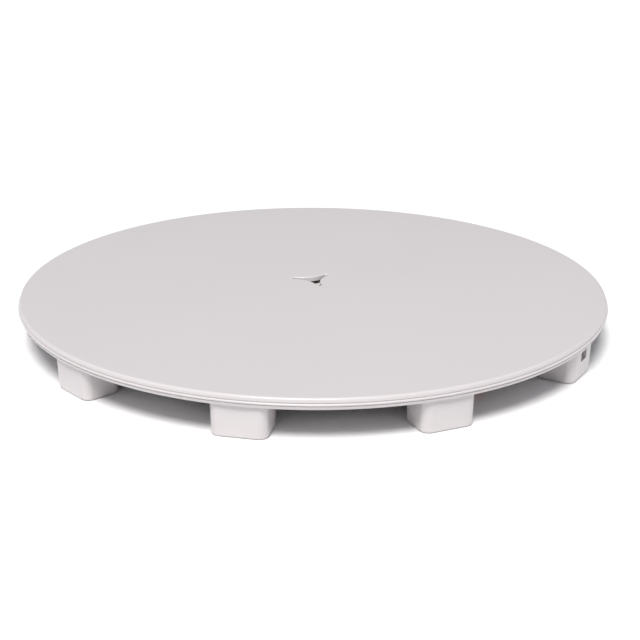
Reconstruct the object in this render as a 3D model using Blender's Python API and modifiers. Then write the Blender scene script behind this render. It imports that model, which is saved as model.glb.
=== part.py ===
"""Round hole-cover tip-up for ice fishing, stowed and standing on its own feet.

A domed lid sits on a footed ring. A foam disc and a chassis plate close it from below. Under the
plate hang a flat line reel, whose sleeve turns with the trip spindle, and a flag on a folding arm.
Origin: on the ground, under the middle of the whole outline. +Z is up, and the flag hinges at +Y.
Sizes in the functions are millimetres from the disc's own axis, which DISC_SHIFT then moves.
"""

import math

import bmesh
import bpy
from mathutils import Matrix, Vector

MM = 0.001
OBJECT_NAME = "hole_cover_tip_up"

# Lid and footed ring, in millimetres.
LID_RADIUS = 126.4
RIM_RADIUS = 127.0
EDGE_HEIGHT = 17.8
DOME_RISE = 1.9
EDGE_ROUND = 1.0
SKIN = 2.0
LID_WALL_BOTTOM = 16.0
RING_TOP = 15.8
DOME_RADII, DOME_OUTER = (0, 45, 85), 112
BOSS_RADIUS, BOSS_GAP, BOSS_TOP, PILOT_TOP = 3.4, 0.3, 17.2, 16.8
RING_BOTTOM = 13.2
FLANGE_TOP = 15.0
FLANGE_INNER = 97.5
SKIRT_INNER, SKIRT_OUTER, SKIRT_BOTTOM = 120.4, 122.2, 15.3
RIM_STEPS = 64

# Feet: tapered blocks under the ring.
FOOT_COUNT = 10
FOOT_PITCH = 2 * math.pi / FOOT_COUNT
FOOT_OUTER_LOW, FOOT_OUTER_HIGH = 124.3, 124.7
FOOT_INNER_LOW, FOOT_INNER_HIGH = 108.3, 108.0
FOOT_HALF_LOW, FOOT_HALF_HIGH = 10.7, 10.9
FOOT_CORNER, FOOT_EDGE = 3.6, 1.0
FOOT_WALL = 2.2
SLOT_FOOT = -1
SLOT_WIDTH, SLOT_LOW, SLOT_HIGH = 6.0, 7.2, 11.4

# Three-pointed opening, and the trip head that passes through it.
STAR_TIP, STAR_WAIST, STAR_TIP_ROUND = 9.1, 3.0, 1.1
STAR_TURN = math.radians(43)
HEAD_TIP, HEAD_WAIST, HEAD_TIP_ROUND = 8.3, 2.3, 0.75
HEAD_LOW, HEAD_HIGH = 15.0, 16.6
TRIP_TRAVEL = 5.3

# Chassis and what it carries.
PLATE_RADIUS, PLATE_LOW, PLATE_HIGH = 106.0, 11.7, 12.9
FOAM_RADIUS, FOAM_HOLE, FOAM_LOW, FOAM_HIGH = 97.0, 10.8, 13.3, 16.2
SCREW_COUNT, SCREW_CIRCLE = 5, 101.8
SCREW_HOLE, SCREW_SHANK, SCREW_HEAD = 1.7, 1.3, 2.9
HEAD_GAP, HEAD_THICK = 0.3, 1.3
BUSH_RADIUS, BUSH_BORE, BUSH_FLANGE = 6.0, 4.4, 8.5
SLEEVE_RADIUS, SLEEVE_BORE, SLEEVE_FLANGE = 4.2, 2.9, 6.4
SHAFT_RADIUS, SHAFT_COLLAR = 1.8, 2.6

# Reel.
SPOOL_RADIUS, SPOOL_HUB, SPOOL_BORE = 56.0, 15.0, 4.5
SPOOL_LOW, SPOOL_HIGH, SPOOL_FLANGE = 4.9, 10.2, 1.0
NUT_RADIUS, NUT_POCKET = 9.8, 10.4
LINE_RADIUS = 44.0
VENT_COUNT, VENT_RADIUS, VENT_CIRCLE = 6, 4.0, 49.0
GUIDE_X = -71.0

# Flag.
HINGE_Y, HINGE_Z = 132.0, 5.7
BARREL_RADIUS, BARREL_HALF, PIN_BORE, PIN_RADIUS = 3.0, 6.6, 1.6, 1.3
STRIP_HALF, STRIP_THICK, STRIP_END = 2.5, 0.8, -95.0
EAR_RADIUS, EAR_NEAR, EAR_FAR = 3.6, 7.0, 8.6
CLOTH_WIDTH, CLOTH_LENGTH, CLOTH_GAP = 53.0, 65.0, 0.6
CLOTH_END = -90.0
CLIP_LENGTH = 6.0
BRACKET_SCREWS = ((-12.5, 115.0), (12.5, 115.0))

# The hinge stands out behind the rim, so the disc sits this far forward of the origin.
DISC_SHIFT = -(HINGE_Y + EAR_RADIUS - RIM_RADIUS) / 2


def clear_scene():
    for obj in list(bpy.data.objects):
        bpy.data.objects.remove(obj, do_unlink=True)


def collection(name):
    made = bpy.data.collections.new(name)
    bpy.context.scene.collection.children.link(made)
    return made


def material(name, colour, roughness, metallic=0.0):
    made = bpy.data.materials.new(name)
    made.use_nodes = True
    shader = made.node_tree.nodes["Principled BSDF"]
    shader.inputs["Base Color"].default_value = (*colour, 1)
    shader.inputs["Roughness"].default_value = roughness
    shader.inputs["Metallic"].default_value = metallic
    made.diffuse_color = (*colour, 1)
    return made


def polar(radius, angle):
    return radius * math.cos(angle), radius * math.sin(angle)


class Shop:
    """Holds the collections and materials, and turns meshes into named pieces or cutters."""

    def __init__(self):
        self.parts = collection(OBJECT_NAME)
        self.cutters = collection("cutters")
        self.white = material("gloss_white", (0.74, 0.71, 0.71), 0.25)
        self.foam = material("foam", (0.86, 0.85, 0.8), 0.9)
        self.black = material("black_plastic", (0.03, 0.03, 0.035), 0.5)
        self.steel = material("steel", (0.62, 0.62, 0.64), 0.3, 1.0)
        self.brass = material("brass", (0.78, 0.58, 0.28), 0.3, 1.0)
        self.orange = material("orange_plastic", (0.9, 0.22, 0.03), 0.4)
        self.line = material("braided_line", (0.05, 0.09, 0.06), 0.8)
        self.cloth = material("flag_cloth", (1.0, 0.25, 0.02), 0.8)

    def piece(self, name, mesh, paint, place=(0, 0, 0), turn=(0, 0, 0)):
        made = bpy.data.objects.new(name, mesh)
        made.location = [v * MM for v in place]
        made.rotation_euler = turn
        mesh.materials.append(paint)
        self.parts.objects.link(made)
        return made

    def cutter(self, name, mesh, place=(0, 0, 0), turn=(0, 0, 0)):
        made = bpy.data.objects.new(name, mesh)
        made.location = [v * MM for v in place]
        made.rotation_euler = turn
        made.hide_render = True
        made.display_type = "WIRE"
        self.cutters.objects.link(made)
        return made

    def axis(self, name, place):
        made = bpy.data.objects.new(name, None)
        made.location = [v * MM for v in place]
        made.empty_display_size = 10 * MM
        self.parts.objects.link(made)
        return made

    def seat(self):
        """Hangs every loose piece and cutter on the disc's centre, which is then shifted to its place."""
        loose = [o for group in (self.parts, self.cutters) for o in group.objects if not o.parent]
        centre = self.axis("disc_centre", (0, DISC_SHIFT, 0))
        for obj in loose:
            obj.parent = centre


def boolean(piece, tool, operation):
    step = piece.modifiers.new(f"{operation.lower()}_{tool.name}", "BOOLEAN")
    step.operation = operation
    step.solver = "EXACT"
    step.object = tool


def cut(piece, *tools):
    for tool in tools:
        boolean(piece, tool, "DIFFERENCE")


def join(piece, *tools):
    for tool in tools:
        boolean(piece, tool, "UNION")


def to_mesh(name, bm):
    bmesh.ops.recalc_face_normals(bm, faces=bm.faces)
    made = bpy.data.meshes.new(name)
    bm.to_mesh(made)
    bm.free()
    return made


def box_mesh(name, low, high, bevel=0.0):
    bm = bmesh.new()
    bmesh.ops.create_cube(bm, size=1)
    size = [h - l for l, h in zip(low, high)]
    centre = [(h + l) / 2 for l, h in zip(low, high)]
    bmesh.ops.scale(bm, vec=[s * MM for s in size], verts=bm.verts)
    bmesh.ops.translate(bm, vec=[c * MM for c in centre], verts=bm.verts)
    if bevel:
        bmesh.ops.bevel(bm, geom=list(bm.edges), offset=bevel * MM, segments=2, profile=0.5, affect="EDGES")
    return to_mesh(name, bm)


def rod_mesh(name, radius, low, high, steps=24):
    bm = bmesh.new()
    height = (high - low) * MM
    bmesh.ops.create_cone(
        bm, cap_ends=True, segments=steps, radius1=radius * MM, radius2=radius * MM, depth=height
    )
    bmesh.ops.translate(bm, vec=(0, 0, low * MM + height / 2), verts=bm.verts)
    made = to_mesh(name, bm)
    smooth(made)
    return made


def smooth(mesh):
    mesh.shade_smooth()
    mesh.set_sharp_from_angle(angle=math.radians(35))


def profile_mesh(name, points, closed):
    """The half section of a turned piece, as points (radius, height)."""
    edges = [(i, i + 1) for i in range(len(points) - 1)]
    if closed:
        edges.append((len(points) - 1, 0))
    made = bpy.data.meshes.new(name)
    made.from_pydata([(r * MM, 0, z * MM) for r, z in points], edges, [])
    return made


def turn_on_lathe(piece, steps):
    spin = piece.modifiers.new("lathe", "SCREW")
    spin.steps = spin.render_steps = steps
    spin.use_merge_vertices = True
    spin.merge_threshold = 1e-6
    spin.use_smooth_shade = True


def turned(shop, name, points, paint, place=(0, 0, 0), turn=(0, 0, 0), steps=36):
    closed = points[0][0] > 0 or points[-1][0] > 0
    piece = shop.piece(name, profile_mesh(name, points, closed), paint, place, turn)
    turn_on_lathe(piece, steps)
    return piece


def ring_section(inner, outer, low, high, chamfer=0.0):
    c = chamfer
    points = [(inner, high), (outer - c, high), (outer, high - c), (outer, low + c), (outer - c, low), (inner, low)]
    return points if c else [(inner, high), (outer, high), (outer, low), (inner, low)]


def outline_mesh(name, points, low, high):
    """A flat outline in x and y, as a filled curve, extruded from low to high."""
    curve = bpy.data.curves.new(name, "CURVE")
    curve.dimensions = "2D"
    curve.fill_mode = "BOTH"
    curve.extrude = (high - low) / 2 * MM
    spline = curve.splines.new("POLY")
    spline.points.add(len(points) - 1)
    for point, (x, y) in zip(spline.points, points):
        point.co = (x * MM, y * MM, 0, 1)
    spline.use_cyclic_u = True
    holder = bpy.data.objects.new(name + "_outline", curve)
    bpy.context.scene.collection.objects.link(holder)
    graph = bpy.context.evaluated_depsgraph_get()
    made = bpy.data.meshes.new_from_object(holder.evaluated_get(graph))
    bpy.data.objects.remove(holder)
    made.name = name
    bm = bmesh.new()
    bm.from_mesh(made)
    bmesh.ops.remove_doubles(bm, verts=bm.verts, dist=1e-6)
    bmesh.ops.translate(bm, vec=(0, 0, (high + low) / 2 * MM), verts=bm.verts)
    bmesh.ops.recalc_face_normals(bm, faces=bm.faces)
    bm.to_mesh(made)
    bm.free()
    return made


def arc(centre, radius, start, end, count):
    """Points on an arc, both ends included; angles in degrees."""
    angles = [math.radians(start + (end - start) * i / count) for i in range(count + 1)]
    return [(centre[0] + radius * math.cos(a), centre[1] + radius * math.sin(a)) for a in angles]


def star_outline(tip, waist, tip_round, side_points=8):
    """Three narrow points joined by hollow sides that come within waist of the centre."""
    points = []
    for k in range(3):
        angle = 2 * math.pi * k / 3
        out = Vector((math.cos(angle), math.sin(angle)))
        across = Vector((-out.y, out.x))
        for step in range(5):
            swing = math.radians(-90 + 45 * step)
            centre = out * (tip - tip_round)
            points.append(centre + (out * math.cos(swing) + across * math.sin(swing)) * tip_round)
        start = points[-1]
        turn = Matrix.Rotation(2 * math.pi / 3, 2)
        end = turn @ points[-5]
        middle = (out + turn @ out).normalized() * waist
        control = 2 * middle - (start + end) / 2
        for step in range(1, side_points):
            t = step / side_points
            points.append(start * (1 - t) ** 2 + control * 2 * t * (1 - t) + end * t**2)
    return [tuple(p) for p in points]


def dome_height(radius):
    return EDGE_HEIGHT + DOME_RISE * (1 - (radius / (RIM_RADIUS - 2)) ** 2)


def foot_mesh(name, angle, inset, low, high):
    """A tapered block in the ring's polar frame: inset draws its sides in, to make the hollow."""
    bm = bmesh.new()
    bmesh.ops.create_cube(bm, size=1)
    for vert in bm.verts:
        above = vert.co.z > 0
        height = high if above else low
        share = height / RING_BOTTOM
        outer = FOOT_OUTER_LOW + (FOOT_OUTER_HIGH - FOOT_OUTER_LOW) * share - inset
        inner = FOOT_INNER_LOW + (FOOT_INNER_HIGH - FOOT_INNER_LOW) * share + inset
        half = FOOT_HALF_LOW + (FOOT_HALF_HIGH - FOOT_HALF_LOW) * share - inset
        side = half if vert.co.y > 0 else -half
        vert.co = (outer if vert.co.x > 0 else inner, side, height)
    upright = [e for e in bm.edges if abs(e.verts[0].co.z - e.verts[1].co.z) > 1]
    corner = FOOT_CORNER - 0.6 * inset
    bmesh.ops.bevel(bm, geom=upright, offset=corner, segments=3, profile=0.5, affect="EDGES")
    if not inset:
        rim = [e for e in bm.edges if all(v.co.z < low + 0.01 for v in e.verts)]
        bmesh.ops.bevel(bm, geom=rim, offset=FOOT_EDGE, segments=2, profile=0.5, affect="EDGES")
    bmesh.ops.transform(bm, matrix=Matrix.Rotation(angle, 4, "Z") @ Matrix.Scale(MM, 4), verts=bm.verts)
    return to_mesh(name, bm)


def joined_mesh(name, meshes):
    """Several separate closed shapes as one mesh, for a single Boolean."""
    bm = bmesh.new()
    for mesh in meshes:
        bm.from_mesh(mesh)
    made = bpy.data.meshes.new(name)
    bm.to_mesh(made)
    bm.free()
    return made


def moved(mesh, x, y):
    mesh.transform(Matrix.Translation((x * MM, y * MM, 0)))
    return mesh


def screw_places():
    return [polar(SCREW_CIRCLE, math.radians(18) + 2 * math.pi * k / SCREW_COUNT) for k in range(SCREW_COUNT)]


def rods_at(name, places, radius, low, high, steps=12):
    return joined_mesh(name, [moved(rod_mesh(name, radius, low, high, steps), x, y) for x, y in places])


def top_cover(shop):
    edge = arc((LID_RADIUS - EDGE_ROUND, EDGE_HEIGHT - EDGE_ROUND), EDGE_ROUND, 90, 0, 3)
    above = [(r, dome_height(r)) for r in (*DOME_RADII, DOME_OUTER)] + edge
    below = [(LID_RADIUS, LID_WALL_BOTTOM), (SKIRT_OUTER, LID_WALL_BOTTOM), (SKIRT_OUTER, SKIRT_BOTTOM)]
    below += [(SKIRT_INNER, SKIRT_BOTTOM), (SKIRT_INNER, dome_height(SKIRT_INNER) - SKIN)]
    below += [(r, dome_height(r) - SKIN) for r in reversed(DOME_RADII)]
    lid = turned(shop, "top_cover", above + below, shop.white, steps=RIM_STEPS)
    bosses = rods_at("lid_bosses", screw_places(), BOSS_RADIUS, FLANGE_TOP + BOSS_GAP, BOSS_TOP)
    join(lid, shop.cutter("lid_bosses", bosses))
    pilots = rods_at("lid_pilots", screw_places(), SCREW_SHANK + 0.1, FLANGE_TOP - 1, PILOT_TOP)
    star = outline_mesh("star_opening", star_outline(STAR_TIP, STAR_WAIST, STAR_TIP_ROUND), 12, 24)
    cut(lid, shop.cutter("lid_pilots", pilots), shop.cutter("star_opening", star, turn=(0, 0, STAR_TURN)))


def base_ring(shop):
    section = [
        (FLANGE_INNER, FLANGE_TOP), (SKIRT_OUTER + 0.5, FLANGE_TOP), (SKIRT_OUTER + 0.5, RING_TOP),
        (RIM_RADIUS - 0.5, RING_TOP), (RIM_RADIUS - 0.1, RING_TOP - 0.15), (RIM_RADIUS, RING_TOP - 0.4),
        (RIM_RADIUS - 0.15, RING_TOP - 0.65), (RIM_RADIUS - 0.55, RING_TOP - 0.85),
        (RIM_RADIUS - 0.55, RING_TOP - 1.15), (RIM_RADIUS - 0.35, RING_TOP - 1.3),
        (RIM_RADIUS - 0.7, RING_BOTTOM + 0.5), (RIM_RADIUS - 1.3, RING_BOTTOM), (FLANGE_INNER, RING_BOTTOM),
    ]
    ring = turned(shop, "base_ring", section, shop.white, steps=RIM_STEPS)
    angles = [k * FOOT_PITCH for k in range(FOOT_COUNT)]
    feet = [foot_mesh("foot", a, 0, 0, RING_BOTTOM + 0.6) for a in angles]
    hollows = [foot_mesh("hollow", a, FOOT_WALL, FOOT_WALL, FLANGE_TOP + 0.6) for a in angles]
    join(ring, shop.cutter("feet", joined_mesh("feet", feet)))
    cut(ring, shop.cutter("foot_hollows", joined_mesh("foot_hollows", hollows)))
    low, high = (FOOT_OUTER_LOW - 4, -SLOT_WIDTH / 2, SLOT_LOW), (RIM_RADIUS, SLOT_WIDTH / 2, SLOT_HIGH)
    slot = box_mesh("foot_slot", low, high)
    cut(ring, shop.cutter("foot_slot", slot, turn=(0, 0, SLOT_FOOT * FOOT_PITCH)))
    holes = rods_at("ring_holes", screw_places(), SCREW_HOLE, RING_BOTTOM - 1, FLANGE_TOP + 1)
    bracket_holes = rods_at("bracket_holes", BRACKET_SCREWS, SCREW_HOLE, RING_BOTTOM - 1, FLANGE_TOP + 1)
    cut(ring, shop.cutter("ring_holes", holes), shop.cutter("bracket_holes", bracket_holes))


def insulation_disc(shop):
    turned(shop, "insulation_disc", ring_section(FOAM_HOLE, FOAM_RADIUS, FOAM_LOW, FOAM_HIGH), shop.foam)


def chassis_plate(shop):
    section = ring_section(BUSH_RADIUS + 0.3, PLATE_RADIUS, PLATE_LOW, PLATE_HIGH)
    plate = turned(shop, "chassis_plate", section, shop.black, steps=48)
    places = screw_places() + [(GUIDE_X - 8, 0)]
    holes = rods_at("plate_holes", places, SCREW_HOLE, PLATE_LOW - 1, PLATE_HIGH + 1)
    cut(plate, shop.cutter("plate_holes", holes))


def pan_screw(shop, name, place, under_head, tip):
    """A pan-head screw that stands head down: under_head is where its head bears, tip its top end."""
    bottom = under_head - HEAD_THICK
    points = [
        (0, tip), (SCREW_SHANK - 0.4, tip), (SCREW_SHANK, tip - 0.5), (SCREW_SHANK, under_head),
        (SCREW_HEAD, under_head), (SCREW_HEAD, bottom + 0.5), (SCREW_HEAD - 0.7, bottom), (0, bottom),
    ]
    turned(shop, name, points, shop.steel, place=(*place, 0), steps=14)


def fixings(shop):
    for k, place in enumerate(screw_places()):
        pan_screw(shop, f"cover_screw_{k + 1}", place, PLATE_LOW - HEAD_GAP, EDGE_HEIGHT - 2.1)
    for side, place in zip(("left", "right"), BRACKET_SCREWS):
        pan_screw(shop, f"bracket_screw_{side}", place, PLATE_LOW - 0.2 - HEAD_GAP, FLANGE_TOP)
    pan_screw(shop, "guide_screw", (GUIDE_X - 8, 0), PLATE_LOW - 1.5 - HEAD_GAP, PLATE_HIGH)


def spindle_bushing(shop):
    flange_low, flange_high, top = PLATE_LOW - 1.1, PLATE_LOW - 0.3, PLATE_HIGH + 0.6
    points = [
        (BUSH_BORE, top), (BUSH_RADIUS, top), (BUSH_RADIUS, flange_high), (BUSH_FLANGE, flange_high),
        (BUSH_FLANGE, flange_low), (BUSH_BORE, flange_low),
    ]
    turned(shop, "spindle_bushing", points, shop.brass)


def line_guide(shop):
    top = PLATE_LOW - 0.3
    foot = box_mesh("line_guide", (GUIDE_X - 12, -5, top - 1.2), (GUIDE_X + 1.2, 5, top))
    guide = shop.piece("line_guide", foot, shop.black)
    leg = box_mesh("guide_leg", (GUIDE_X - 1.2, -4, 3.4), (GUIDE_X + 1.2, 4, top - 0.5), 0.5)
    join(guide, shop.cutter("guide_leg", leg))
    sideways = (0, math.pi / 2, 0)
    eye = rod_mesh("guide_eye", 2.4, -3, 3)
    cut(guide, shop.cutter("guide_eye", eye, (GUIDE_X, 0, 7), sideways))
    hole = rod_mesh("guide_hole", SCREW_HOLE, PLATE_LOW - 3, PLATE_LOW + 1, 16)
    cut(guide, shop.cutter("guide_hole", hole, (GUIDE_X - 8, 0, 0)))
    half, lip = 1.5, 0.6
    ring = [(1.2, half + lip), (3.2, half + lip), (3.2, half), (2.1, half), (2.1, -half - lip), (1.2, -half - lip)]
    turned(shop, "guide_eyelet", ring, shop.steel, (GUIDE_X, 0, 7), sideways, 24)


def hang_on(axis, *pieces):
    """Parents pieces to a joint axis without moving them."""
    for piece in pieces:
        piece.parent = axis
        piece.location = Vector(piece.location) - Vector(axis.location)


def reel(shop):
    sleeve_top, shoulder, low = HEAD_LOW - 0.3, 12.4, 5.2
    sleeve = turned(shop, "drive_sleeve", [
        (SHAFT_RADIUS + 0.2, sleeve_top), (SLEEVE_FLANGE, sleeve_top), (SLEEVE_FLANGE, sleeve_top - 0.9),
        (SLEEVE_RADIUS, sleeve_top - 0.9), (SLEEVE_RADIUS, low), (SLEEVE_BORE, low),
        (SLEEVE_BORE, shoulder), (SHAFT_RADIUS + 0.2, shoulder),
    ], shop.steel, steps=28)
    high, flange = SPOOL_HIGH, SPOOL_FLANGE
    spool = turned(shop, "reel_spool", [
        (SPOOL_BORE, high), (SPOOL_RADIUS, high), (SPOOL_RADIUS, high - flange), (SPOOL_HUB, high - flange),
        (SPOOL_HUB, SPOOL_LOW + flange), (SPOOL_RADIUS, SPOOL_LOW + flange), (SPOOL_RADIUS, SPOOL_LOW),
        (NUT_POCKET, SPOOL_LOW), (NUT_POCKET, SPOOL_LOW + 2.6), (SPOOL_BORE, SPOOL_LOW + 2.6),
    ], shop.orange, steps=48)
    places = [polar(VENT_CIRCLE, 2 * math.pi * k / VENT_COUNT) for k in range(VENT_COUNT)]
    vents = rods_at("spool_vents", places, VENT_RADIUS, SPOOL_LOW - 1, SPOOL_HIGH + 1)
    cut(spool, shop.cutter("spool_vents", vents))
    section = ring_section(SPOOL_HUB + 0.3, LINE_RADIUS, SPOOL_LOW + flange + 0.3, high - flange - 0.3, 0.6)
    winding = turned(shop, "line_winding", section, shop.line)
    section = ring_section(SPOOL_BORE, 8.6, SPOOL_LOW + 2.0, SPOOL_LOW + 2.3)
    washer = turned(shop, "drag_washer", section, shop.steel, steps=32)
    hang_on(shop.axis("reel_axis", (0, 0, 0)), sleeve, spool, winding, washer)
    drag_nut(shop)


def drag_nut(shop):
    """A ring with finger notches, sunk in the spool's lower face."""
    section = ring_section(SPOOL_BORE, NUT_RADIUS, SPOOL_LOW, SPOOL_LOW + 1.7, 0.3)
    nut = turned(shop, "drag_nut", section, shop.black, steps=40)
    places = [polar(NUT_RADIUS + 0.4, math.radians(30 + 60 * k)) for k in range(6)]
    notches = rods_at("nut_notches", places, 1.5, SPOOL_LOW - 1, SPOOL_LOW + 3, 12)
    cut(nut, shop.cutter("nut_notches", notches))
    hang_on(shop.axis("drag_axis", (0, 0, 0)), nut)


def trip_spindle(shop):
    outline = star_outline(HEAD_TIP, HEAD_WAIST, HEAD_TIP_ROUND)
    head = outline_mesh("trip_spindle", outline, HEAD_LOW, HEAD_HIGH)
    spindle = shop.piece("trip_spindle", head, shop.white, turn=(0, 0, STAR_TURN))
    shaft = rod_mesh("spindle_shaft", SHAFT_RADIUS, 5.6, HEAD_LOW + 0.4)
    collar = rod_mesh("spindle_collar", SHAFT_COLLAR, 6.4, 7.0)
    join(spindle, shop.cutter("spindle_shaft", shaft), shop.cutter("spindle_collar", collar))
    hang_on(shop.axis("trip_axis", (0, 0, 0)), spindle)


def flag_bracket(shop):
    top = RING_BOTTOM - 0.3
    base = box_mesh("flag_bracket", (-17, 107.5, top - 1.4), (17, 123.5, top))
    bracket = shop.piece("flag_bracket", base, shop.black)
    outline = [(118.5, top), (134.4, top), (HINGE_Y + EAR_RADIUS, top - 1.2)]
    outline += arc((HINGE_Y, HINGE_Z), EAR_RADIUS, 0, -180, 8) + [(118.5, 10.6)]
    upright = (math.pi / 2, 0, math.pi / 2)
    for side, low, high in (("left", -EAR_FAR, -EAR_NEAR), ("right", EAR_NEAR, EAR_FAR)):
        ear = outline_mesh(f"ear_{side}", outline, low, high)
        join(bracket, shop.cutter(f"ear_{side}", ear, turn=upright))
    bore = rod_mesh("ear_bore", PIN_BORE, -20, 20)
    holes = rods_at("base_holes", BRACKET_SCREWS, SCREW_HOLE, top - 3, top + 1)
    cut(bracket, shop.cutter("ear_bore", bore, (0, HINGE_Y, HINGE_Z), (0, math.pi / 2, 0)))
    cut(bracket, shop.cutter("base_holes", holes))


def flag_pivot(shop):
    """A shouldered screw across the ears, and its nut."""
    near, far, head = EAR_FAR + HEAD_GAP, EAR_FAR + 2.6, 2.7
    place, along = (0, HINGE_Y, HINGE_Z), (0, math.pi / 2, 0)
    points = [
        (0, far + 0.4), (PIN_RADIUS, far + 0.4), (PIN_RADIUS, -near), (head, -near),
        (head, -near - 1.0), (head - 0.5, -near - 1.4), (0, -near - 1.4),
    ]
    turned(shop, "flag_pivot_screw", points, shop.steel, place, along, 20)
    nut = rod_mesh("flag_pivot_nut", head, near, far, 6)
    nut_piece = shop.piece("flag_pivot_nut", nut, shop.steel, place, along)
    cut(nut_piece, shop.cutter("nut_bore", rod_mesh("nut_bore", PIN_RADIUS + 0.15, 0, 20, 20), place, along))


def flag(shop):
    axis = shop.axis("flag_axis", (0, HINGE_Y, HINGE_Z))
    low = HINGE_Z - BARREL_RADIUS
    high = low + STRIP_THICK
    arm = shop.piece(
        "flag_arm", box_mesh("flag_arm", (-STRIP_HALF, STRIP_END, low), (STRIP_HALF, 126, high)), shop.steel
    )
    root = box_mesh("arm_root", (-BARREL_HALF, 120, low), (BARREL_HALF, HINGE_Y, high))
    along, place = (0, math.pi / 2, 0), (0, HINGE_Y, HINGE_Z)
    barrel = rod_mesh("arm_barrel", BARREL_RADIUS, -BARREL_HALF, BARREL_HALF, 32)
    bore = rod_mesh("arm_bore", PIN_BORE, -BARREL_HALF - 1, BARREL_HALF + 1)
    join(arm, shop.cutter("arm_root", root), shop.cutter("arm_barrel", barrel, place, along))
    cut(arm, shop.cutter("arm_bore", bore, place, along))
    near = STRIP_HALF + CLOTH_GAP
    cloth = shop.piece(
        "flag_cloth",
        box_mesh("flag_cloth", (near, CLOTH_END, low), (near + CLOTH_WIDTH, CLOTH_END + CLOTH_LENGTH, high)),
        shop.cloth,
    )
    clips = []
    for k, middle in enumerate((CLOTH_END + 9, CLOTH_END + CLOTH_LENGTH - 9)):
        clips.append(flag_clip(shop, f"flag_clip_{k + 1}", middle, low, high))
    hang_on(axis, arm, cloth, *clips)


def flag_clip(shop, name, middle, low, high):
    """A spring clip, open towards the cloth, that grips the strip and the cloth's edge."""
    gap, wall, half = 0.3, 0.5, CLIP_LENGTH / 2
    left, right = -STRIP_HALF - gap - wall, STRIP_HALF + CLOTH_GAP + 4
    body = box_mesh(name, (left, middle - half, low - gap - wall), (right, middle + half, high + gap + wall))
    clip = shop.piece(name, body, shop.black)
    mouth = (left + wall, middle - half - 1, low - gap), (right + 1, middle + half + 1, high + gap)
    cut(clip, shop.cutter(name + "_mouth", box_mesh("clip_mouth", *mouth)))
    return clip


def main():
    clear_scene()
    shop = Shop()
    for build in (top_cover, base_ring, insulation_disc, chassis_plate, fixings, spindle_bushing, line_guide):
        build(shop)
    for build in (reel, trip_spindle, flag_bracket, flag_pivot, flag):
        build(shop)
    shop.seat()


main()
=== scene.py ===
"""Looks of the stowed hole-cover tip-up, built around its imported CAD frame."""

import logging
import math
from collections.abc import Callable, Iterable, Sequence
from dataclasses import dataclass, field
from enum import Enum

import bmesh
import bpy
from mathutils import Matrix, Vector

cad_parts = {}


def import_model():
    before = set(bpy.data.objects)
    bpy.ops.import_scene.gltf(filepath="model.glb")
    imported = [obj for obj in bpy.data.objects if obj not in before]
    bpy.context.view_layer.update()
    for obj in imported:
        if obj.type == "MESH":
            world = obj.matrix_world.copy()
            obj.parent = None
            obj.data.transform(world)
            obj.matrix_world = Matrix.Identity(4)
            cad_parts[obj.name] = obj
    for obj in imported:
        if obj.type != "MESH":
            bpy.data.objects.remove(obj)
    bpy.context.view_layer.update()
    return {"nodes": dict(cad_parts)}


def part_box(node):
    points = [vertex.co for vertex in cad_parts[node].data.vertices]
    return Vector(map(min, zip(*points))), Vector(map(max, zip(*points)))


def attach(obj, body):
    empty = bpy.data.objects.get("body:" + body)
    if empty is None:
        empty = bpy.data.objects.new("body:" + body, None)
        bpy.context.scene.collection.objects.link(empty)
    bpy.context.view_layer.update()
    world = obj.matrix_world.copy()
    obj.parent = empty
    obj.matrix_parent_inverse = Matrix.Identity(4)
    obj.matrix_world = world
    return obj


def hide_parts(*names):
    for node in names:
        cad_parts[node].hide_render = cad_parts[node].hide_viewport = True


MM = 0.001
TAU = 2 * math.pi
log = logging.getLogger("tip_up")

Point = tuple[float, float]
Colour = tuple[float, float, float]


class Grain(Enum):
    """How a metal's surface was finished."""

    TURNED = "turned"
    ROLLED = "rolled"
    PLATED = "plated"


# ---------------------------------------------------------------- shader maths


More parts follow.
